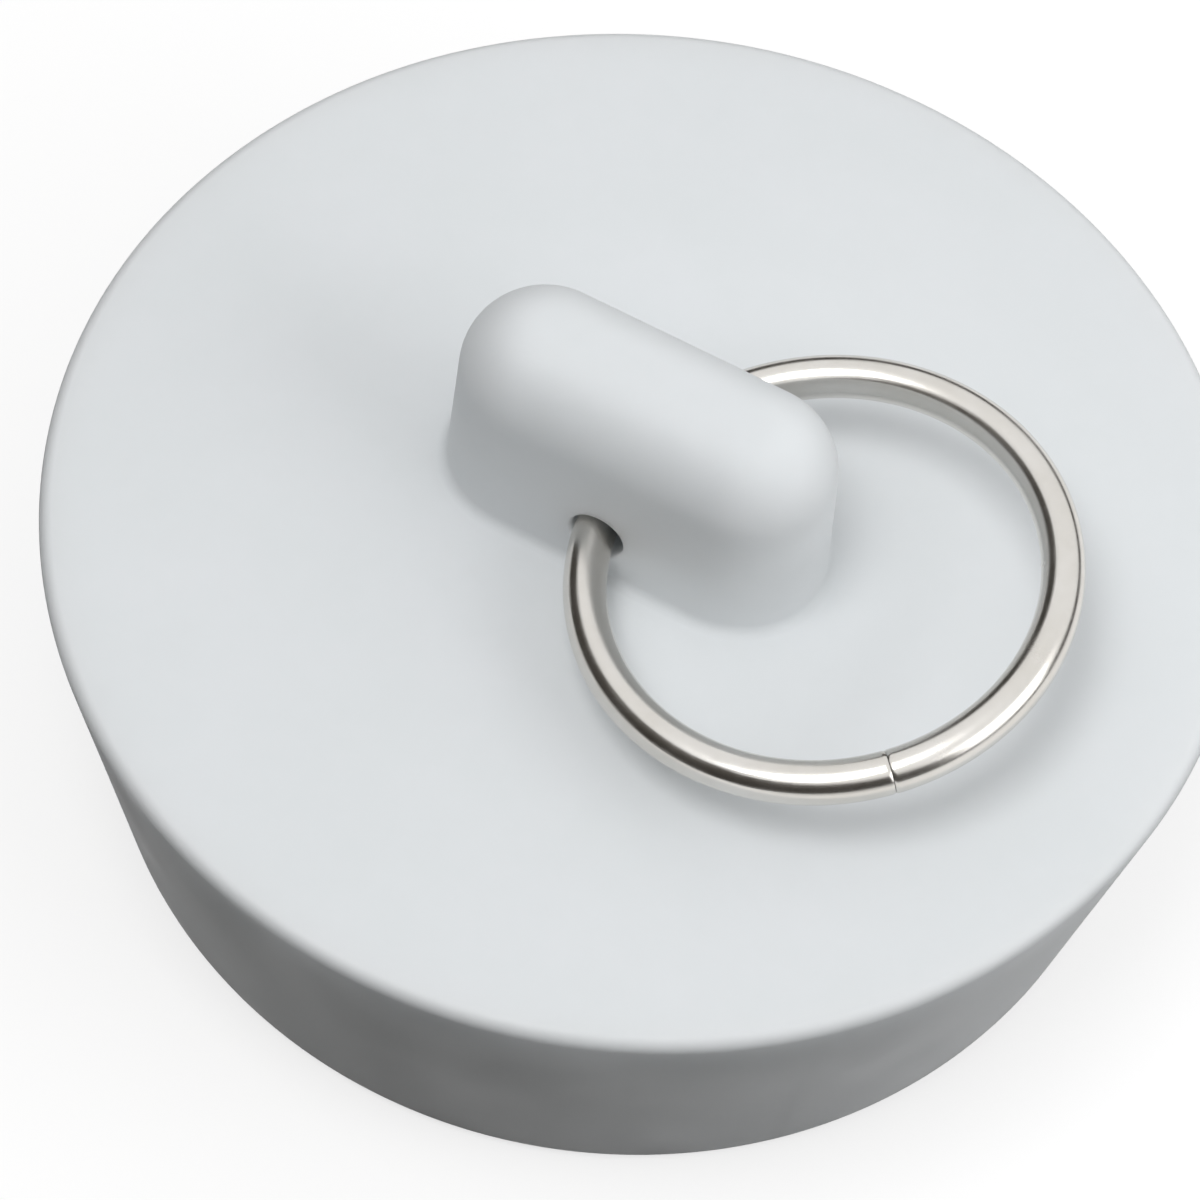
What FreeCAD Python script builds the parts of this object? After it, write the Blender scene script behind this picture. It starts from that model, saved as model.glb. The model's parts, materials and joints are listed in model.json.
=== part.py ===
import FreeCAD
import Part
import math
import os

# A rubber drain stopper: a tapered plug with a lug on top, and a wire pull ring
# threaded through the lug's cross hole. Millimetres, +Z up, origin at the centre
# of the underside. The lug runs along X, and its hole crosses it, nearly along Y.

# Plug, with its top diameter measured across the rounded rim
plug_top_diameter = 45.0
plug_height = 14.0
plug_taper_deg = 10.6
plug_rim_radius = 0.5
plug_foot_radius = 0.8
foot_ring_width = 4.0
recess_depth = 0.8
recess_corner_radius = 0.5

# Lug, one moulding with the plug, a little off the plug's middle along its length
lug_length = 15.3
lug_thickness = 6.8
lug_height = 8.5
lug_offset = -0.35
lug_top_radius = 2.8
lug_root_radius = 0.4
lug_draft_deg = 2.0

# Cross hole: the height of its middle over the plug's top, the rounding of its two mouths, its
# clearance round the wire, and how far it is turned and tilted in the lug, to follow the ring
hole_height = 2.42
hole_mouth_radius = 0.2
hole_clearance = 0.12
hole_turn_deg = -9.0
hole_tilt_deg = 6.1

# Pull ring: round wire bent to a circle, with butted ends
ring_outer_diameter = 19.0
wire_diameter = 1.6
seam_gap = 0.05
seam_chamfer = 0.1
seam_position_deg = -35.0

# How far the ring's free side is raised at rest
ring_lift_deg = 8.2

# Cuts run this far past the faces that they open
overrun = 1.0

# A rounding stays below this share of the wall that carries it
rounding_limit_share = 0.48

# Two lengths closer than this count as equal
same_length = 0.0001

X_AXIS = FreeCAD.Vector(1, 0, 0)
Y_AXIS = FreeCAD.Vector(0, 1, 0)
Z_AXIS = FreeCAD.Vector(0, 0, 1)
ORIGIN = FreeCAD.Vector(0, 0, 0)

ring_radius = (ring_outer_diameter - wire_diameter) / 2
wire_radius = wire_diameter / 2


def circles_at(shape, height, radius):
    """Edges of a shape that are circles of one radius at one height."""
    found = []
    for edge in shape.Edges:
        if not isinstance(edge.Curve, Part.Circle):
            continue
        same_height = math.isclose(edge.Curve.Center.z, height, abs_tol=same_length)
        if same_height and math.isclose(edge.Curve.Radius, radius, abs_tol=same_length):
            found.append(edge)
    return found


def plug_solid():
    """Tapered disc with a soft rim, a rounded foot and a shallow recess underneath."""
    taper = math.radians(plug_taper_deg)
    rounded_off = plug_rim_radius * ((1 + math.sin(taper)) / math.cos(taper) - 1)
    top_radius = plug_top_diameter / 2 + rounded_off
    bottom_radius = top_radius - plug_height * math.tan(taper)
    recess_radius = bottom_radius - foot_ring_width
    cone = Part.makeCone(bottom_radius, top_radius, plug_height)
    cone = cone.makeFillet(plug_rim_radius, circles_at(cone, plug_height, top_radius))
    cone = cone.makeFillet(plug_foot_radius, circles_at(cone, 0, bottom_radius))
    recess_corner = min(recess_corner_radius, rounding_limit_share * recess_depth * 2)
    below = FreeCAD.Vector(0, 0, -overrun)
    recess = Part.makeCylinder(recess_radius, recess_depth + overrun, below)
    recess = recess.makeFillet(recess_corner, circles_at(recess, recess_depth, recess_radius))
    return cone.cut(recess)


def lug_solid():
    """Drafted block with half-round ends and a round top, standing on the plug."""
    root_radius = lug_thickness / 2
    crest_radius = root_radius - lug_height * math.tan(math.radians(lug_draft_deg))
    end_centre = lug_length / 2 - root_radius
    top_radius = min(lug_top_radius, 2 * rounding_limit_share * crest_radius)
    crest = plug_height + lug_height
    middle = Part.makeWedge(-end_centre, 0, -root_radius, -crest_radius, -end_centre,
                            end_centre, lug_height, root_radius, crest_radius, end_centre)
    middle.rotate(ORIGIN, X_AXIS, 90)
    ends = []
    for turn_deg in (-90, 90):
        end_middle = FreeCAD.Vector(0, end_centre, 0)
        end = Part.makeCone(root_radius, crest_radius, lug_height, end_middle, Z_AXIS, 180)
        end.rotate(ORIGIN, Z_AXIS, turn_deg)
        ends.append(end)
    block = middle.fuse(ends).removeSplitter()
    block.translate(FreeCAD.Vector(lug_offset, 0, plug_height))
    around_top = [e for e in block.Edges if math.isclose(e.BoundBox.ZMin, crest, abs_tol=same_length)]
    return block.makeFillet(top_radius, around_top)


# The bent wire bows away from the line between the hole's mouths. The hole is a barrel round that
# line: close to the wire at its mouths, and as wide in its middle as the swinging wire needs
hole_run = lug_thickness / math.cos(math.radians(hole_turn_deg)) / math.cos(math.radians(hole_tilt_deg))
ring_reach = math.sqrt(ring_radius ** 2 - (hole_run / 2) ** 2)
barrel_bend = ring_radius + wire_radius + hole_clearance
hole_middle = FreeCAD.Vector(0, 0, plug_height + hole_height)
hole_turns = FreeCAD.Rotation(Z_AXIS, hole_turn_deg).multiply(FreeCAD.Rotation(X_AXIS, hole_tilt_deg))
hole_line = hole_turns.multVec(Y_AXIS)


def barrel_radius(along):
    """Radius of the barrel-shaped hole at a distance from its middle."""
    return math.sqrt(barrel_bend ** 2 - along ** 2) - ring_reach


def hole_tool():
    """Barrel-shaped cross hole through the lug, made along Y and then turned into place."""
    end = hole_run / 2 + overrun
    start_corner = FreeCAD.Vector(barrel_radius(end), -end, 0)
    widest = FreeCAD.Vector(barrel_radius(0), 0, 0)
    end_corner = FreeCAD.Vector(barrel_radius(end), end, 0)
    bulge = Part.Arc(start_corner, widest, end_corner).toShape()
    on_line = [FreeCAD.Vector(0, end, 0), FreeCAD.Vector(0, -end, 0)]
    straight = Part.makePolygon([end_corner] + on_line + [start_corner])
    tool = Part.Face(Part.Wire([bulge] + straight.Edges)).revolve(ORIGIN, Y_AXIS, 360)
    tool.Placement = FreeCAD.Placement(hole_middle, hole_turns)
    return tool


def is_lug_root(edge):
    """True for an edge where the lug stands on the plug's top face."""
    box = edge.BoundBox
    on_top_face = math.isclose(box.ZMin, plug_height, abs_tol=same_length)
    flat = math.isclose(box.ZMax, box.ZMin, abs_tol=same_length)
    reach = max(box.XMax - lug_offset, lug_offset - box.XMin)
    return on_top_face and flat and reach <= lug_length / 2 + lug_root_radius


def hole_mouths(shape):
    """Closed edges round the two mouths of the cross hole."""
    line = Part.makeLine(hole_middle - hole_line * hole_run, hole_middle + hole_line * hole_run)
    return [e for e in shape.Edges if e.isClosed()
            and line.distToShape(Part.Vertex(e.CenterOfMass))[0] < wire_radius]


def stopper_body():
    """The whole rubber moulding: plug, lug and cross hole in one solid."""
    body = plug_solid().fuse(lug_solid()).removeSplitter()
    body = body.makeFillet(lug_root_radius, [e for e in body.Edges if is_lug_root(e)])
    body = body.cut(hole_tool())
    return body.makeFillet(hole_mouth_radius, hole_mouths(body))


def pull_ring():
    """Round wire ring with chamfered, butted ends, threaded through the hole."""
    gap_deg = math.degrees(seam_gap / ring_radius)
    section = Part.Face(Part.Wire(Part.makeCircle(wire_radius, FreeCAD.Vector(ring_radius, 0, 0), Y_AXIS)))
    wire = section.revolve(ORIGIN, Z_AXIS, 360 - gap_deg)
    ends = [e for e in wire.Edges if e.isClosed() and isinstance(e.Curve, Part.Circle)
            and math.isclose(e.Curve.Radius, wire_radius, abs_tol=same_length)]
    wire = wire.makeChamfer(seam_chamfer, ends)
    wire.rotate(ORIGIN, Z_AXIS, seam_position_deg + gap_deg / 2)
    wire.translate(FreeCAD.Vector(ring_reach, 0, 0))
    lift = FreeCAD.Rotation(Y_AXIS, -ring_lift_deg)
    rest = FreeCAD.Placement(hole_middle, hole_turns.multiply(lift))
    wire.Placement = rest.multiply(wire.Placement)
    return wire


def write_parts():
    """One STEP file for each separate piece."""
    os.makedirs("parts", exist_ok=True)
    pieces = {"stopper_body": stopper_body(), "pull_ring": pull_ring()}
    for name, shape in pieces.items():
        solid = shape.Solids[0]
        solid.exportStep("parts/" + name + ".step")
        box = solid.optimalBoundingBox()
        print(name, "solids", len(shape.Solids), "valid", solid.isValid(), "volume %.1f mm3" % solid.Volume)
        print("  X %.2f..%.2f  Y %.2f..%.2f  Z %.2f..%.2f" %
              (box.XMin, box.XMax, box.YMin, box.YMax, box.ZMin, box.ZMax))
    print("hole radius %.3f at its mouths" % barrel_radius(hole_run / 2), "and %.3f inside" % barrel_radius(0))
    print("hole's middle", hole_middle, "along", hole_line)
    body, ring = pieces["stopper_body"], pieces["pull_ring"]
    print("overlap of the two pieces %.4f mm3" % body.common(ring).Volume)
    print("gap between the two pieces %.3f mm" % body.distToShape(ring)[0])


write_parts()
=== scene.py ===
# %% [markdown]
# # A rubber drain stopper with a wire pull ring
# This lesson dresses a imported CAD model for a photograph-like render. The stopper is one white
# rubber moulding: a tapered plug with a lug on top. A ring of plated wire swings in the lug's hole.
# The CAD model is the fixed frame: it gives every size and place, and the lesson builds finer
# meshes exactly where its solids are.

# %% Load the frame
import json
import math

import bmesh
import bpy
import numpy as np
from mathutils import Matrix, Vector, noise


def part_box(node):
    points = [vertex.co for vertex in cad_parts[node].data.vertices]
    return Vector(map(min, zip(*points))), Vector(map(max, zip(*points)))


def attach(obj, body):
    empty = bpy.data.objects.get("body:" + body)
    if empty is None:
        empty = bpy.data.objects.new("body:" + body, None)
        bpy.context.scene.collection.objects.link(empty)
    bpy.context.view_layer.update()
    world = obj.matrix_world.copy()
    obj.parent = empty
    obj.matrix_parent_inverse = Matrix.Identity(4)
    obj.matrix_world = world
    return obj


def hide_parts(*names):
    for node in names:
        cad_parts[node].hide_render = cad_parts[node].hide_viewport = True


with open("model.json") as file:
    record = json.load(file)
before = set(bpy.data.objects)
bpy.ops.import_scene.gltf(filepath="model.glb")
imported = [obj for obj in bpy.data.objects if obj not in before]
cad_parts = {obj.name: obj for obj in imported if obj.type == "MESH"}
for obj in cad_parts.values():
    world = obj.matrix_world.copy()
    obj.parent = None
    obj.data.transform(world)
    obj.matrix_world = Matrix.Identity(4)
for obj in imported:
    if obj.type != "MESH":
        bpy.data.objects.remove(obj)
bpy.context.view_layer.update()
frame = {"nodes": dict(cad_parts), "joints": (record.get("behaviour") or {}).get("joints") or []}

MM = 0.001
scene = bpy.context.scene

# %% [markdown]
# ## Sizes
# What the frame can tell is read from it: the plug's width and the crest of the lug from the
# rubber's box, and the place and direction of the cross hole from the hinge of the ring. The
# roundings and the lug's plan can't be read from a box, so they are named here, in millimetres.

# %% Sizes of the rubber moulding
rubber_low, rubber_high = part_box("stopper_body")
hinge = next(j for j in frame["joints"] if j["name"] == "ring_swing")
HOLE_MIDDLE = Vector(hinge["pos_m"])
HOLE_AXIS = -Vector(hinge["axis"]).normalized()
RIM_RADIUS = (rubber_high.x - rubber_low.x) / 2
CREST = rubber_high.z
PLUG_HEIGHT = 14.0 * MM
PLUG_TAPER = math.radians(10.6)
RIM_ROUNDING = 0.5 * MM
FOOT_ROUNDING = 0.8 * MM
FOOT_RING = 4.0 * MM
RECESS_DEPTH = 0.8 * MM
RECESS_ROUNDING = 0.5 * MM
LUG_LENGTH = 15.3 * MM
LUG_THICKNESS = 6.8 * MM
LUG_MIDDLE = -0.35 * MM
LUG_DRAFT = math.radians(2.0)
LUG_TOP_ROUNDING = 2.8 * MM
LUG_ROOT_ROUNDING = 0.4 * MM
print("rim radius %.2f mm, crest %.2f mm" % (RIM_RADIUS / MM, CREST / MM))
print("hole's middle %.2f mm up" % (HOLE_MIDDLE.z / MM))

# %% [markdown]
# ## The camera
# The camera was found by fitting the plug's two round outlines to the photograph. It stands in
# front and above, turned a little about its own line of sight, and looks at a point on the top
# face. A long lens from a short distance gives the photograph's mild perspective.

# %% Camera
VIEW_AZIMUTH = math.radians(22.0)
CAMERA_PLACE = Vector((0.0, -111.87, 171.54)) * MM
CAMERA_AIM = Vector((-1.21, -4.25, 0.0)) * MM
CAMERA_ROLL = math.radians(6.92)
PHOTO_FOCAL_PIXELS = 5500
PHOTO_WIDTH_PIXELS = 1200
SENSOR_MM = 36.0
CLIP_NEAR = 10 * MM
CLIP_FAR = 10.0


def from_view(point):
    """A point given from the camera's side (right, away, above the top face), in the frame."""
    return Matrix.Rotation(VIEW_AZIMUTH, 4, "Z") @ point + Vector((0, 0, PLUG_HEIGHT))


def add_camera():
    data = bpy.data.cameras.new("photo_camera")
    data.sensor_width = SENSOR_MM
    data.lens = PHOTO_FOCAL_PIXELS / PHOTO_WIDTH_PIXELS * SENSOR_MM
    data.clip_start = CLIP_NEAR
    data.clip_end = CLIP_FAR
    camera = bpy.data.objects.new("photo_camera", data)
    scene.collection.objects.link(camera)
    place = from_view(CAMERA_PLACE)
    look = (from_view(CAMERA_AIM) - place).to_track_quat("-Z", "Y").to_matrix().to_4x4()
    camera.matrix_world = Matrix.Translation(place) @ look @ Matrix.Rotation(CAMERA_ROLL, 4, "Z")
    scene.camera = camera
    return camera


camera = add_camera()
print("camera at", [round(v / MM, 1) for v in camera.matrix_world.translation])
print("lens %.0f mm" % camera.data.lens)

# %% [markdown]
# ## A shared effect for the materials
# Neither rubber nor plated wire is the same all over. Both get the same small effect, a soft
# mottle made of two sizes of noise, so it is one node group with named inputs. It puts out a
# value that each material turns into its own roughness or colour.

# %% Mottle node group
FINE_NOISE_SHARE = 0.35
NOISE_DETAIL = 3.0
NOISE_LOW = 0.4
NOISE_HIGH = 0.95


def make_mottle_group():
    tree = bpy.data.node_groups.new("surface_mottle", "ShaderNodeTree")
    tree.interface.new_socket("Vector", in_out="INPUT", socket_type="NodeSocketVector")
    for name in ("Broad Scale", "Fine Scale", "Low", "High"):
        tree.interface.new_socket(name, in_out="INPUT", socket_type="NodeSocketFloat")
    tree.interface.new_socket("Value", in_out="OUTPUT", socket_type="NodeSocketFloat")
    group_in = tree.nodes.new("NodeGroupInput")
    group_out = tree.nodes.new("NodeGroupOutput")
    broad = tree.nodes.new("ShaderNodeTexNoise")
    fine = tree.nodes.new("ShaderNodeTexNoise")
    both = tree.nodes.new("ShaderNodeMath")
    both.operation = "MULTIPLY_ADD"
    both.inputs[1].default_value = FINE_NOISE_SHARE
    spread = tree.nodes.new("ShaderNodeMapRange")
    spread.inputs["From Min"].default_value = NOISE_LOW
    spread.inputs["From Max"].default_value = NOISE_HIGH
    for texture, scale in ((broad, "Broad Scale"), (fine, "Fine Scale")):
        texture.inputs["Detail"].default_value = NOISE_DETAIL
        tree.links.new(group_in.outputs["Vector"], texture.inputs["Vector"])
        tree.links.new(group_in.outputs[scale], texture.inputs["Scale"])
    tree.links.new(fine.outputs["Fac"], both.inputs[0])
    tree.links.new(broad.outputs["Fac"], both.inputs[2])
    tree.links.new(both.outputs["Value"], spread.inputs["Value"])
    tree.links.new(group_in.outputs["Low"], spread.inputs["To Min"])
    tree.links.new(group_in.outputs["High"], spread.inputs["To Max"])
    tree.links.new(spread.outputs["Result"], group_out.inputs["Value"])
    return tree


mottle_group = make_mottle_group()
print("shared effect:", mottle_group.name)

# %% [markdown]
# ## Steps that both materials share
# Each material is a Principled shader with a few nodes in front of it. The same small steps come
# back in each: place the mottle, mix two close colours, raise a fine relief. They are functions,
# so that the materials below read as a list of what the finish is.

# %% Helpers for the materials


def new_material(name):
    """A new node material: returns it with its nodes, its links and its Principled shader."""
    material = bpy.data.materials.new(name)
    material.use_nodes = True
    nodes, links = material.node_tree.nodes, material.node_tree.links
    return material, nodes, links, nodes["Principled BSDF"]


def add_mottle(nodes, links, vector, scales, values):
    """Places the shared mottle, with its broad and fine scale and its range, and returns its value."""
    mottle = nodes.new("ShaderNodeGroup")
    mottle.node_tree = mottle_group
    for name, value in zip(("Broad Scale", "Fine Scale", "Low", "High"), scales + values):
        mottle.inputs[name].default_value = value
    links.new(vector, mottle.inputs["Vector"])
    return mottle.outputs["Value"]


def add_mix(nodes, links, factor, first, second):
    """Mixes two colours by a factor and returns the colour."""
    mix = nodes.new("ShaderNodeMix")
    mix.data_type = "RGBA"
    mix.inputs["A"].default_value = first
    mix.inputs["B"].default_value = second
    links.new(factor, mix.inputs["Factor"])
    return mix.outputs["Result"]


def add_relief(nodes, links, height, strength, depth):
    """Turns a height into a slightly bent normal."""
    bump = nodes.new("ShaderNodeBump")
    bump.inputs["Strength"].default_value = strength
    bump.inputs["Distance"].default_value = depth
    links.new(height, bump.inputs["Height"])
    return bump.outputs["Normal"]


print("shared steps:", [step.__name__ for step in (add_mottle, add_mix, add_relief)])

# %% [markdown]
# ## White rubber
# Moulded rubber is satin: a cool white with a broad, weak shine. Light sinks a millimetre or two
# into it, which softens the shade on the lug, so the shader gets some subsurface scattering. Its
# roughness wanders a little where the mould was worn, and a fine grain from the mould's face
# breaks up the highlights. All the patterns read Object coordinates, which are metres here, so
# the scales are per metre.

# %% White rubber material
FULL_RANGE = (0.0, 1.0)
RUBBER_SHADE = (0.76, 0.79, 0.805, 1)
RUBBER_PALE = (0.785, 0.81, 0.83, 1)
RUBBER_TINT_SCALES = (140, 900)
RUBBER_WEAR_SCALES = (220, 1500)
RUBBER_ROUGHNESS = (0.42, 0.56)
RUBBER_SHINE = 0.25
RUBBER_TRANSLUCENCY = 0.5
LIGHT_DEPTH = 2.0 * MM
GRAIN_SCALE = 2600
GRAIN_DETAIL = 2.0
GRAIN_STRENGTH = 0.06
GRAIN_DEPTH = 0.05 * MM


def make_white_rubber():
    material, nodes, links, shader = new_material("white_rubber")
    place = nodes.new("ShaderNodeTexCoord").outputs["Object"]
    tint = add_mottle(nodes, links, place, RUBBER_TINT_SCALES, FULL_RANGE)
    colour = add_mix(nodes, links, tint, RUBBER_SHADE, RUBBER_PALE)
    links.new(colour, shader.inputs["Base Color"])
    wear = add_mottle(nodes, links, place, RUBBER_WEAR_SCALES, RUBBER_ROUGHNESS)
    links.new(wear, shader.inputs["Roughness"])
    shader.inputs["Specular IOR Level"].default_value = RUBBER_SHINE
    shader.inputs["Subsurface Weight"].default_value = RUBBER_TRANSLUCENCY
    shader.inputs["Subsurface Radius"].default_value = (1, 1, 1)
    shader.inputs["Subsurface Scale"].default_value = LIGHT_DEPTH
    grain = nodes.new("ShaderNodeTexNoise")
    grain.inputs["Scale"].default_value = GRAIN_SCALE
    grain.inputs["Detail"].default_value = GRAIN_DETAIL
    links.new(place, grain.inputs["Vector"])
    relief = add_relief(nodes, links, grain.outputs["Fac"], GRAIN_STRENGTH, GRAIN_DEPTH)
    links.new(relief, shader.inputs["Normal"])
    return material


white_rubber = make_white_rubber()
print("material:", white_rubber.name)

# %% [markdown]
# ## Plated wire
# The ring is steel wire with a bright nickel plate: warm silver, almost a mirror, with faint
# marks that run along the wire from drawing it through its die. The ring's own mesh carries two
# attributes, how far along and how far round the wire a point is, and the marks follow them.

# %% Plated wire material
WIRE_SHADE = (0.66, 0.635, 0.59, 1)
WIRE_PALE = (0.74, 0.72, 0.69, 1)
WIRE_TINT_SCALES = (260, 2200)
WIRE_POLISH_SCALES = (400, 3000)
WIRE_ROUGHNESS = (0.16, 0.28)
DRAW_MARKS = (14, 60, 1)
DRAW_MARK_STRENGTH = 0.15
DRAW_MARK_DEPTH = 0.02 * MM


def make_plated_wire():
    material, nodes, links, shader = new_material("plated_wire")
    place = nodes.new("ShaderNodeTexCoord").outputs["Object"]
    shader.inputs["Metallic"].default_value = 1.0
    tint = add_mottle(nodes, links, place, WIRE_TINT_SCALES, FULL_RANGE)
    colour = add_mix(nodes, links, tint, WIRE_SHADE, WIRE_PALE)
    links.new(colour, shader.inputs["Base Color"])
    polish = add_mottle(nodes, links, place, WIRE_POLISH_SCALES, WIRE_ROUGHNESS)
    links.new(polish, shader.inputs["Roughness"])
    lane = nodes.new("ShaderNodeCombineXYZ")
    for name, side in (("wire_along", "X"), ("wire_around", "Y")):
        attribute = nodes.new("ShaderNodeAttribute")
        attribute.attribute_name = name
        links.new(attribute.outputs["Fac"], lane.inputs[side])
    stretch = nodes.new("ShaderNodeMapping")
    stretch.inputs["Scale"].default_value = DRAW_MARKS
    links.new(lane.outputs["Vector"], stretch.inputs["Vector"])
    drawn = nodes.new("ShaderNodeTexNoise")
    drawn.inputs["Scale"].default_value = 1.0
    links.new(stretch.outputs["Vector"], drawn.inputs["Vector"])
    relief = add_relief(nodes, links, drawn.outputs["Fac"], DRAW_MARK_STRENGTH, DRAW_MARK_DEPTH)
    links.new(relief, shader.inputs["Normal"])
    return material


plated_wire = make_plated_wire()
print("material:", plated_wire.name)

# %% [markdown]
# ## The rubber moulding as a stack of sections
# Cut the moulding level at any height and the cut is a stadium: two half circles joined by
# straight sides. On the plug the straight sides have no length, so the stadium is a circle; on
# the lug they do. One rule therefore gives the whole skin: a list of sections from the middle of
# the underside, out to the foot, up the taper, over the rim, in along the top face and up the lug.

# %% Sections of the moulding
SECTION_POINTS = 288
HUB_SHARE = 0.05
UNDERSIDE_STEPS = 14
RECESS_CORNER_STEPS = 6
RECESS_LIP_STEPS = 5
FOOT_RING_STEPS = 5
FOOT_STEPS = 8
TAPER_STEPS = 14
RIM_STEPS = 14
TOP_FACE_STEPS = 26
LUG_ROOT_STEPS = 8
LUG_SIDE_STEPS = 14
LUG_TOP_STEPS = 16


def arc(centre_r, centre_z, radius, start_deg, end_deg, steps):
    """Points (r, z) of an arc in the moulding's half section."""
    points = []
    for step in range(steps + 1):
        angle = math.radians(start_deg + (end_deg - start_deg) * step / steps)
        points.append((centre_r + radius * math.cos(angle), centre_z + radius * math.sin(angle)))
    return points


def between(start, end, steps):
    """Points strictly between two points of the half section."""
    return [(start[0] + (end[0] - start[0]) * s / steps, start[1] + (end[1] - start[1]) * s / steps)
            for s in range(1, steps)]


def plug_profile():
    """The plug's half section, from the underside's middle to the inner edge of the rim."""
    lean = math.degrees(PLUG_TAPER)
    sharp_rim = RIM_RADIUS + RIM_ROUNDING * ((1 + math.sin(PLUG_TAPER)) / math.cos(PLUG_TAPER) - 1)
    sharp_foot = sharp_rim - PLUG_HEIGHT * math.tan(PLUG_TAPER)
    recess = sharp_foot - FOOT_RING
    foot_centre = sharp_foot - FOOT_ROUNDING * (1 - math.sin(PLUG_TAPER)) / math.cos(PLUG_TAPER)
    edge = RECESS_DEPTH - RECESS_ROUNDING
    corner = arc(recess - RECESS_ROUNDING, edge, RECESS_ROUNDING, 90, 0, RECESS_CORNER_STEPS)
    lip = arc(recess + edge, edge, edge, 180, 270, RECESS_LIP_STEPS)
    foot = arc(foot_centre, FOOT_ROUNDING, FOOT_ROUNDING, -90, -lean, FOOT_STEPS)
    rim_centre = (RIM_RADIUS - RIM_ROUNDING, PLUG_HEIGHT - RIM_ROUNDING)
    rim = arc(*rim_centre, RIM_ROUNDING, -lean, 90, RIM_STEPS)
    hub = (recess * HUB_SHARE, RECESS_DEPTH)
    runs = [[hub], between(hub, corner[0], UNDERSIDE_STEPS), corner, lip,
            between(lip[-1], foot[0], FOOT_RING_STEPS), foot,
            between(foot[-1], rim[0], TAPER_STEPS), rim]
    return [point for run in runs for point in run]


def lug_profile():
    """The lug's half section, across its thickness, from the top face to the crest."""
    root = LUG_THICKNESS / 2
    lean = math.degrees(LUG_DRAFT)
    height = CREST - PLUG_HEIGHT
    crest = root - height * math.tan(LUG_DRAFT)
    fillet_centre = root + LUG_ROOT_ROUNDING * (1 - math.sin(LUG_DRAFT)) / math.cos(LUG_DRAFT)
    top_centre = crest - LUG_TOP_ROUNDING * (1 - math.sin(LUG_DRAFT)) / math.cos(LUG_DRAFT)
    fillet = arc(fillet_centre, PLUG_HEIGHT + LUG_ROOT_ROUNDING, LUG_ROOT_ROUNDING,
                 270, 180 + lean, LUG_ROOT_STEPS)
    top = arc(top_centre, CREST - LUG_TOP_ROUNDING, LUG_TOP_ROUNDING, lean, 90, LUG_TOP_STEPS)
    return fillet + between(fillet[-1], top[0], LUG_SIDE_STEPS) + top


def moulding_sections():
    """(middle, half straight, radius, height) of every section, from underneath to the crest."""
    half_straight = (LUG_LENGTH - LUG_THICKNESS) / 2
    plug = [(0.0, 0.0, r, z) for r, z in plug_profile()]
    lug = [(LUG_MIDDLE, half_straight, r, z) for r, z in lug_profile()]
    top_face = []
    for step in range(1, TOP_FACE_STEPS):
        share = step / TOP_FACE_STEPS
        radius = plug[-1][2] + (lug[0][2] - plug[-1][2]) * share
        top_face.append((LUG_MIDDLE * share, half_straight * share ** 2, radius, PLUG_HEIGHT))
    return plug + top_face + lug


sections = moulding_sections()
print("sections:", len(sections), "widest %.2f mm" % (max(section[2] for section in sections) / MM))

# %% [markdown]
# ## Skinning the sections
# Every section gets the same number of points, each at its own bearing from the middle, so the
# points of neighbouring sections line up and plain quads join them. Soft rubber is never quite
# true after it leaves its mould, so a very low noise draws the skin in by a few hundredths of a
# millimetre, never out, and the moulding stays inside its frame.

# %% Rubber skin
WAVE_DEPTH = 0.03 * MM
WAVES_PER_METRE = 110.0


def stadium_point(half_straight, radius, bearing):
    """Where a ray from the middle at one bearing leaves a stadium."""
    c, s = math.cos(bearing), math.sin(bearing)
    if abs(s) * half_straight >= radius * abs(c):
        reach = radius / abs(s)
    else:
        along = half_straight * abs(c)
        reach = along + math.sqrt(max(0.0, along * along - half_straight ** 2 + radius ** 2))
    return reach * c, reach * s


def add_object(name, mesh):
    piece = bpy.data.objects.new(name, mesh)
    scene.collection.objects.link(piece)
    return piece


def skin_moulding():
    skin = bmesh.new()
    loops = []
    for middle, half_straight, radius, height in sections:
        loop = []
        for k in range(SECTION_POINTS):
            x, y = stadium_point(half_straight, radius, 2 * math.pi * k / SECTION_POINTS)
            loop.append(skin.verts.new((middle + x, y, height)))
        loops.append(loop)
    for lower, upper in zip(loops, loops[1:]):
        for k in range(SECTION_POINTS):
            after = (k + 1) % SECTION_POINTS
            skin.faces.new((lower[k], lower[after], upper[after], upper[k]))
    skin.faces.new(list(reversed(loops[0])))
    skin.faces.new(loops[-1])
    bmesh.ops.recalc_face_normals(skin, faces=skin.faces)
    skin.normal_update()
    for vert in skin.verts:
        wave = noise.noise(vert.co * WAVES_PER_METRE)
        if vert.co.z > 0.5 * RECESS_DEPTH:
            vert.co -= vert.normal * WAVE_DEPTH * (0.5 + 0.5 * wave)
    mesh = bpy.data.meshes.new("rubber_stopper")
    skin.to_mesh(mesh)
    skin.free()
    return add_object("rubber_stopper", mesh)


stopper = skin_moulding()
print("rubber skin:", len(stopper.data.polygons), "faces")

# %% [markdown]
# ## Where the ring lies
# The ring's plane comes from the frame. The CAD ring's points lie round a circle, so the
# direction in which they spread least is the circle's axis, and a circle fitted to them in that
# plane gives its middle and its size. The hinge tells which way along the ring the hole is.

# %% Ring plane from the frame


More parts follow.
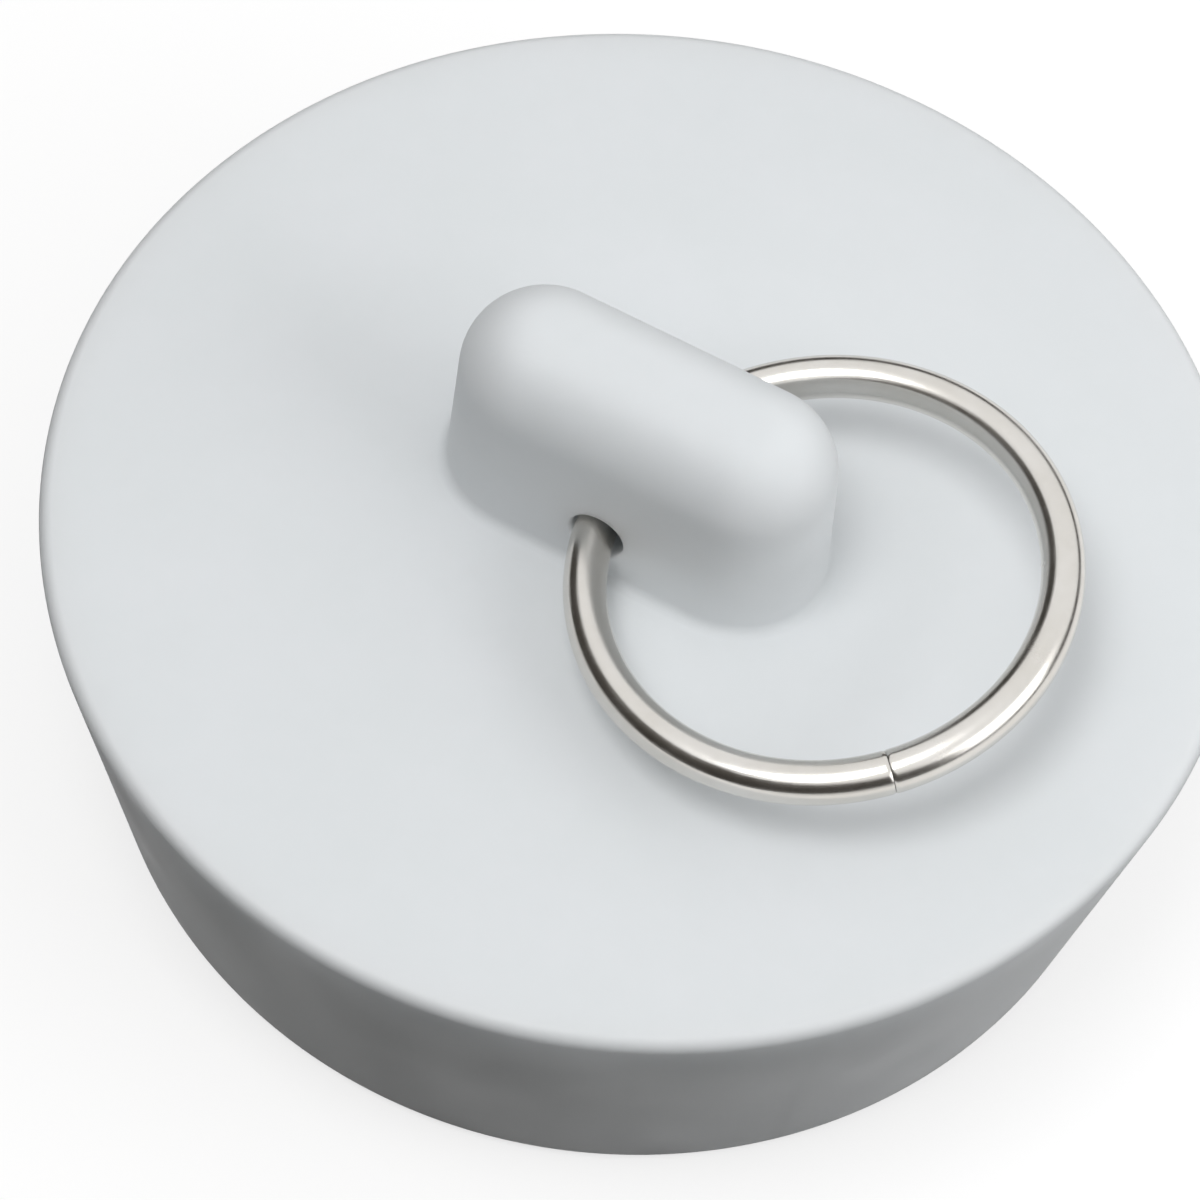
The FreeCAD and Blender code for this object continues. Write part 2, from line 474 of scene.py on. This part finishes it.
def ring_frame():
    """Middle, two in-plane directions, axis and radii of the CAD ring, in metres."""
    points = np.array([v.co for v in frame["nodes"]["pull_ring"].data.vertices])
    mean = points.mean(axis=0)
    axis = np.linalg.svd(points - mean, full_matrices=False)[2][2]
    axis = axis if axis[2] > 0 else -axis
    to_ring = mean - np.array(HOLE_MIDDLE)
    out = to_ring - axis * (to_ring @ axis)
    out = out / np.linalg.norm(out)
    side = np.cross(axis, out)
    flat = np.stack([(points - mean) @ out, (points - mean) @ side], axis=1)
    system = np.c_[2 * flat, np.ones(len(flat))]
    fit = np.linalg.lstsq(system, (flat ** 2).sum(axis=1), rcond=None)[0]
    middle = mean + out * fit[0] + side * fit[1]
    reach = np.hypot(flat[:, 0] - fit[0], flat[:, 1] - fit[1])
    return middle, out, side, axis, reach.min(), reach.max()


ring_middle, ring_out, ring_side, ring_axis, ring_inside, ring_outside = ring_frame()
RING_RADIUS = (ring_inside + ring_outside) / 2
WIRE_RADIUS = (ring_outside - ring_inside) / 2
RING_REACH = (Vector(ring_middle) - HOLE_MIDDLE).cross(HOLE_AXIS).length
print("ring %.2f mm across, wire %.2f mm" % (2 * ring_outside / MM, 2 * WIRE_RADIUS / MM))
print("ring's middle %.2f mm from the hole's line" % (RING_REACH / MM))

# %% [markdown]
# ## Cutting the cross hole
# The hole follows the ring's hinge through the lug. Its mouths close round the wire, but the wire
# is bent: it bows out between them and sweeps a barrel when the ring swings. The cutter is that
# barrel, flared a little at both ends, where it meets the lug's leaning faces, so one Boolean makes
# the hole and both soft lips. The helper object is deleted afterwards.

# %% Cross hole
HOLE_CLEARANCE = 0.12 * MM
HOLE_LIP = 0.15 * MM
FLARE_END_DEG = 95
FLARE_STEPS = 7
MOUTH_REFINEMENTS = 2
BARREL_STEPS = 24
HOLE_TURNS = 72


def face_distance(start, side):
    """How far along the hole's axis a point is from the lug's leaning face on one side."""
    outward = Vector((0, side * math.cos(LUG_DRAFT), math.sin(LUG_DRAFT)))
    root = Vector((0, side * LUG_THICKNESS / 2, PLUG_HEIGHT))
    return (root - start).dot(outward) / HOLE_AXIS.dot(outward)


def hole_radius(along):
    """Radius of the barrel that the bent wire sweeps, at a distance from the hole's middle."""
    return math.sqrt((RING_RADIUS + WIRE_RADIUS + HOLE_CLEARANCE) ** 2 - along ** 2) - RING_REACH


def hole_lip(direction, side):
    """Points of one flared mouth, from its throat outward, in one direction from the hole's line."""
    mouth = face_distance(HOLE_MIDDLE, side)
    for refinement in range(MOUTH_REFINEMENTS):
        throat = hole_radius(mouth - side * HOLE_LIP)
        mouth = face_distance(HOLE_MIDDLE + direction * throat, side)
    flare = arc(throat + HOLE_LIP, -HOLE_LIP, HOLE_LIP, 180, FLARE_END_DEG, FLARE_STEPS)
    flare.append((flare[-1][0] + HOLE_LIP, HOLE_LIP))
    points = []
    for radius, past in flare:
        start = HOLE_MIDDLE + direction * radius
        points.append(start + HOLE_AXIS * (face_distance(start, side) + side * past))
    return points


def hole_column(direction):
    """Points of the cutter from mouth to mouth, in one direction from the hole's line."""
    near, far = hole_lip(direction, -1), hole_lip(direction, 1)
    first, last = [(lip[0] - HOLE_MIDDLE).dot(HOLE_AXIS) for lip in (near, far)]
    inside = []
    for step in range(1, BARREL_STEPS):
        along = first + (last - first) * step / BARREL_STEPS
        inside.append(HOLE_MIDDLE + HOLE_AXIS * along + direction * hole_radius(along))
    return list(reversed(near)) + inside + far


def hole_cutter():
    """Barrel along the hole, flared at both ends where it meets the lug's two faces."""
    across = HOLE_AXIS.cross(Vector((0, 0, 1))).normalized()
    above = across.cross(HOLE_AXIS)
    cutter = bmesh.new()
    columns = []
    for k in range(HOLE_TURNS):
        angle = 2 * math.pi * k / HOLE_TURNS
        direction = across * math.cos(angle) + above * math.sin(angle)
        columns.append([cutter.verts.new(point) for point in hole_column(direction)])
    for k, column in enumerate(columns):
        after = columns[(k + 1) % HOLE_TURNS]
        for row in range(len(column) - 1):
            cutter.faces.new((column[row], after[row], after[row + 1], column[row + 1]))
    cutter.faces.new([column[0] for column in columns])
    cutter.faces.new([column[-1] for column in reversed(columns)])
    bmesh.ops.recalc_face_normals(cutter, faces=cutter.faces)
    mesh = bpy.data.meshes.new("hole_cutter")
    cutter.to_mesh(mesh)
    cutter.free()
    return add_object("hole_cutter", mesh)


def applied_mesh(piece):
    """The piece's mesh with its modifiers applied."""
    depsgraph = bpy.context.evaluated_depsgraph_get()
    return bpy.data.meshes.new_from_object(piece.evaluated_get(depsgraph))


def cut_hole(piece):
    cutter = hole_cutter()
    boolean = piece.modifiers.new("cross_hole", "BOOLEAN")
    boolean.operation = "DIFFERENCE"
    boolean.solver = "EXACT"
    boolean.object = cutter
    mesh = applied_mesh(piece)
    piece.modifiers.remove(boolean)
    piece.data = mesh
    bpy.data.objects.remove(cutter)


cut_hole(stopper)
stopper.data.shade_smooth()
stopper.data.materials.append(white_rubber)
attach(stopper, "stopper")
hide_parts("stopper_body")
print("rubber with its hole:", len(stopper.data.polygons), "faces")

# %% [markdown]
# ## The wire ring in Geometry Nodes
# A ring of wire follows a rule: an open arc, swept with a circle. Geometry Nodes hold that rule
# with its sizes as named inputs. The arc stops short of a full turn, which leaves the fine butt
# seam where the wire's ends meet, and near the seam the wire is drawn in to round its cut ends.

# %% Wire ring
SEAM_GAP = 0.02 * MM
SEAM_ROUNDING = 0.03 * MM
SEAM_BEARING = math.radians(-35.0)
RING_STEPS = 720
WIRE_STEPS = 48


def math_node(tree, operation, first, second=None):
    """A Math node fed by sockets or numbers, and its output."""
    node = tree.nodes.new("ShaderNodeMath")
    node.operation = operation
    for socket, value in zip(node.inputs, (first, second)):
        if isinstance(value, (int, float)):
            socket.default_value = value
        elif value is not None:
            tree.links.new(value, socket)
    return node.outputs["Value"]


def store_fraction(tree, geometry, name):
    """Stores how far along its curve each point is, from 0 to 1."""
    store = tree.nodes.new("GeometryNodeStoreNamedAttribute")
    store.data_type = "FLOAT"
    store.domain = "POINT"
    store.inputs["Name"].default_value = name
    parameter = tree.nodes.new("GeometryNodeSplineParameter")
    tree.links.new(geometry, store.inputs["Geometry"])
    tree.links.new(parameter.outputs["Factor"], store.inputs["Value"])
    return store.outputs["Geometry"]


def make_ring_tree():
    tree = bpy.data.node_groups.new("wire_ring", "GeometryNodeTree")
    sockets = {}
    for name, kind in (("Ring Radius", "NodeSocketFloat"), ("Wire Radius", "NodeSocketFloat"),
                       ("Seam Gap", "NodeSocketFloat"), ("Seam Rounding", "NodeSocketFloat"),
                       ("Seam Bearing", "NodeSocketFloat"), ("Ring Steps", "NodeSocketInt"),
                       ("Wire Steps", "NodeSocketInt"), ("Middle", "NodeSocketVector"),
                       ("Turn", "NodeSocketRotation"), ("Finish", "NodeSocketMaterial")):
        sockets[name] = tree.interface.new_socket(name, in_out="INPUT", socket_type=kind).identifier
    tree.interface.new_socket("Geometry", in_out="OUTPUT", socket_type="NodeSocketGeometry")
    inputs = tree.nodes.new("NodeGroupInput").outputs
    gap_angle = math_node(tree, "DIVIDE", inputs["Seam Gap"], inputs["Ring Radius"])
    arc_node = tree.nodes.new("GeometryNodeCurveArc")
    start = math_node(tree, "ADD", inputs["Seam Bearing"], math_node(tree, "MULTIPLY", gap_angle, 0.5))
    tree.links.new(inputs["Ring Steps"], arc_node.inputs["Resolution"])
    tree.links.new(inputs["Ring Radius"], arc_node.inputs["Radius"])
    tree.links.new(start, arc_node.inputs["Start Angle"])
    tree.links.new(math_node(tree, "SUBTRACT", 2 * math.pi, gap_angle), arc_node.inputs["Sweep Angle"])
    parameter = tree.nodes.new("GeometryNodeSplineParameter")
    length = tree.nodes.new("GeometryNodeSplineLength")
    from_end = math_node(tree, "SUBTRACT", length.outputs["Length"], parameter.outputs["Length"])
    nearest = math_node(tree, "MINIMUM", parameter.outputs["Length"], from_end)
    short = math_node(tree, "SUBTRACT", inputs["Seam Rounding"], nearest)
    missing = math_node(tree, "MAXIMUM", short, 0.0)
    thick = math_node(tree, "SUBTRACT", inputs["Wire Radius"], missing)
    circle = tree.nodes.new("GeometryNodeCurvePrimitiveCircle")
    circle.inputs["Radius"].default_value = 1.0
    tree.links.new(inputs["Wire Steps"], circle.inputs["Resolution"])
    sweep = tree.nodes.new("GeometryNodeCurveToMesh")
    sweep.inputs["Fill Caps"].default_value = True
    path = store_fraction(tree, arc_node.outputs["Curve"], "wire_along")
    profile = store_fraction(tree, circle.outputs["Curve"], "wire_around")
    tree.links.new(path, sweep.inputs["Curve"])
    tree.links.new(profile, sweep.inputs["Profile Curve"])
    tree.links.new(thick, sweep.inputs["Scale"])
    place = tree.nodes.new("GeometryNodeTransform")
    tree.links.new(sweep.outputs["Mesh"], place.inputs["Geometry"])
    tree.links.new(inputs["Middle"], place.inputs["Translation"])
    tree.links.new(inputs["Turn"], place.inputs["Rotation"])
    realize = tree.nodes.new("GeometryNodeRealizeInstances")
    finish = tree.nodes.new("GeometryNodeSetMaterial")
    tree.links.new(place.outputs["Geometry"], realize.inputs["Geometry"])
    tree.links.new(realize.outputs["Geometry"], finish.inputs["Geometry"])
    tree.links.new(inputs["Finish"], finish.inputs["Material"])
    tree.links.new(finish.outputs["Geometry"], tree.nodes.new("NodeGroupOutput").inputs["Geometry"])
    return tree, sockets


def make_wire_ring():
    tree, sockets = make_ring_tree()
    ring = add_object("wire_ring", bpy.data.meshes.new("wire_ring"))
    sweep = ring.modifiers.new("wire_ring", "NODES")
    sweep.node_group = tree
    turn = Matrix((ring_out, ring_side, ring_axis)).transposed().to_euler()
    values = {"Ring Radius": RING_RADIUS, "Wire Radius": WIRE_RADIUS, "Seam Gap": SEAM_GAP,
              "Seam Rounding": SEAM_ROUNDING, "Seam Bearing": SEAM_BEARING,
              "Ring Steps": RING_STEPS, "Wire Steps": WIRE_STEPS, "Middle": tuple(ring_middle),
              "Turn": tuple(turn), "Finish": plated_wire}
    for name, value in values.items():
        sweep[sockets[name]] = value
    mesh = applied_mesh(ring)
    ring.modifiers.remove(sweep)
    ring.data = mesh
    mesh.shade_smooth()
    return ring


ring = make_wire_ring()
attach(ring, "ring")
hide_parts("pull_ring")
print("wire ring:", len(ring.data.polygons), "faces, materials", [m.name for m in ring.data.materials])

# %% [markdown]
# ## A white floor
# The photograph has a plain white ground. The floor is white where the camera and the metal see
# it, and dark where it would only bounce light up at the plug's side, which the photograph shows
# in shade. One rule, used again for the dome, tells the two cases apart: the kind of ray.

# %% Floor
FLOOR_SIZE = 3.0
FLOOR_WHITE = 0.35
FLOOR_BOUNCE = 0.02
FLOOR_GLOW = 0.70
FLOOR_ROUGHNESS = 0.9


def seen_directly(nodes, links):
    """1 for camera, glossy and transmission rays, else 0."""
    path = nodes.new("ShaderNodeLightPath")
    total = path.outputs["Is Camera Ray"]
    for ray in ("Is Glossy Ray", "Is Transmission Ray"):
        either = nodes.new("ShaderNodeMath")
        either.operation = "MAXIMUM"
        links.new(total, either.inputs[0])
        links.new(path.outputs[ray], either.inputs[1])
        total = either.outputs["Value"]
    return total


def make_floor():
    material, nodes, links, shader = new_material("white_floor")
    shader.inputs["Roughness"].default_value = FLOOR_ROUGHNESS
    shader.inputs["Specular IOR Level"].default_value = 0.0
    seen = seen_directly(nodes, links)
    bounce, white = [(grey, grey, grey, 1) for grey in (FLOOR_BOUNCE, FLOOR_WHITE)]
    links.new(add_mix(nodes, links, seen, bounce, white), shader.inputs["Base Color"])
    glow = nodes.new("ShaderNodeMath")
    glow.operation = "MULTIPLY"
    glow.inputs[1].default_value = FLOOR_GLOW
    links.new(seen, glow.inputs[0])
    shader.inputs["Emission Color"].default_value = (1, 1, 1, 1)
    links.new(glow.outputs["Value"], shader.inputs["Emission Strength"])
    half = FLOOR_SIZE / 2
    mesh = bpy.data.meshes.new("floor")
    corners = [(-half, -half, 0), (half, -half, 0), (half, half, 0), (-half, half, 0)]
    mesh.from_pydata(corners, [], [(0, 1, 2, 3)])
    mesh.materials.append(material)
    add_object("floor", mesh)


make_floor()
print("floor %.1f m wide" % FLOOR_SIZE)

# %% [markdown]
# ## A dark wall
# Bright metal shows what is round it. In an all-white room the wire would be white on white, so a
# photographer puts dark cards beside the set. Here they are one open cylinder, hidden from the
# camera. It also keeps the dome's low light off the plug's side. Its top slants: it is highest at
# the front left, where the photograph has that side darkest, and low at the back right.

# %% Dark wall
WALL_RADIUS = 0.42
WALL_LOW = 0.10
WALL_HIGH = 0.50
WALL_BEARING = math.radians(225)
WALL_SIDES = 64
WALL_COLOUR = (0.085, 0.075, 0.065, 1)
WALL_ROUGHNESS = 0.9


def make_wall():
    """A dark open cylinder with a slanted top round the set, hidden from the camera."""
    material, *_, shader = new_material("dark_wall")
    shader.inputs["Base Color"].default_value = WALL_COLOUR
    shader.inputs["Roughness"].default_value = WALL_ROUGHNESS
    rows = []
    for share in (0, 1):
        for k in range(WALL_SIDES):
            angle = 2 * math.pi * k / WALL_SIDES
            toward = (1 + math.cos(angle - WALL_BEARING - VIEW_AZIMUTH)) / 2
            height = share * (WALL_LOW + (WALL_HIGH - WALL_LOW) * toward)
            rows.append((WALL_RADIUS * math.cos(angle), WALL_RADIUS * math.sin(angle), height))
    faces = []
    for k in range(WALL_SIDES):
        after = (k + 1) % WALL_SIDES
        faces.append((k, after, WALL_SIDES + after, WALL_SIDES + k))
    mesh = bpy.data.meshes.new("dark_wall")
    mesh.from_pydata(rows, [], faces)
    mesh.materials.append(material)
    wall = add_object("dark_wall", mesh)
    wall.visible_camera = False


make_wall()
print("wall %.2f m from the object, %.2f m to %.2f m high" % (WALL_RADIUS, WALL_LOW, WALL_HIGH))

# %% [markdown]
# ## Lamps and dome
# White rubber shows its shape only by soft shade. An even dome gives about half of the light. A
# softbox high at the front left makes the soft shadows of the lug and the ring, and a small one
# low on the right makes the plug's side run from dark to light. The dome is plain white to the
# camera and the metal, and dimmer as a light, so that the white rubber doesn't clip.

# %% Lamps and world
KEY_PLACE = Vector((-0.12, -0.12, 0.58))
KEY_SIZE = 0.24
KEY_POWER = 1.38
SIDE_PLACE = Vector((0.17, -0.07, 0.095))
SIDE_SIZE = 0.14
SIDE_POWER = 0.126
DOME_LIGHT = 0.67
DOME_WHITE = 1.0


def add_softbox(name, place, size, power):
    """A square lamp, placed from the camera's side and aimed at the middle of the top face."""
    data = bpy.data.lights.new(name, "AREA")
    data.size = size
    data.energy = power
    lamp = bpy.data.objects.new(name, data)
    scene.collection.objects.link(lamp)
    lamp.location = from_view(place)
    lamp.rotation_mode = "QUATERNION"
    lamp.rotation_quaternion = (from_view(Vector((0, 0, 0))) - lamp.location).to_track_quat("-Z", "Y")
    lamp.visible_camera = False


def make_world():
    world = bpy.data.worlds.new("studio")
    world.use_nodes = True
    nodes, links = world.node_tree.nodes, world.node_tree.links
    background = nodes["Background"]
    background.inputs["Color"].default_value = (1, 1, 1, 1)
    strength = nodes.new("ShaderNodeMapRange")
    strength.inputs["To Min"].default_value = DOME_LIGHT
    strength.inputs["To Max"].default_value = DOME_WHITE
    links.new(seen_directly(nodes, links), strength.inputs["Value"])
    links.new(strength.outputs["Result"], background.inputs["Strength"])
    scene.world = world


add_softbox("key_softbox", KEY_PLACE, KEY_SIZE, KEY_POWER)
add_softbox("side_softbox", SIDE_PLACE, SIDE_SIZE, SIDE_POWER)
make_world()
print("lamps %.2f W and %.2f W, dome %.2f" % (KEY_POWER, SIDE_POWER, DOME_LIGHT))

# %% [markdown]
# ## Colour view
# Colours are shown as they are.

# %% Finish
scene.view_settings.view_transform = "Standard"
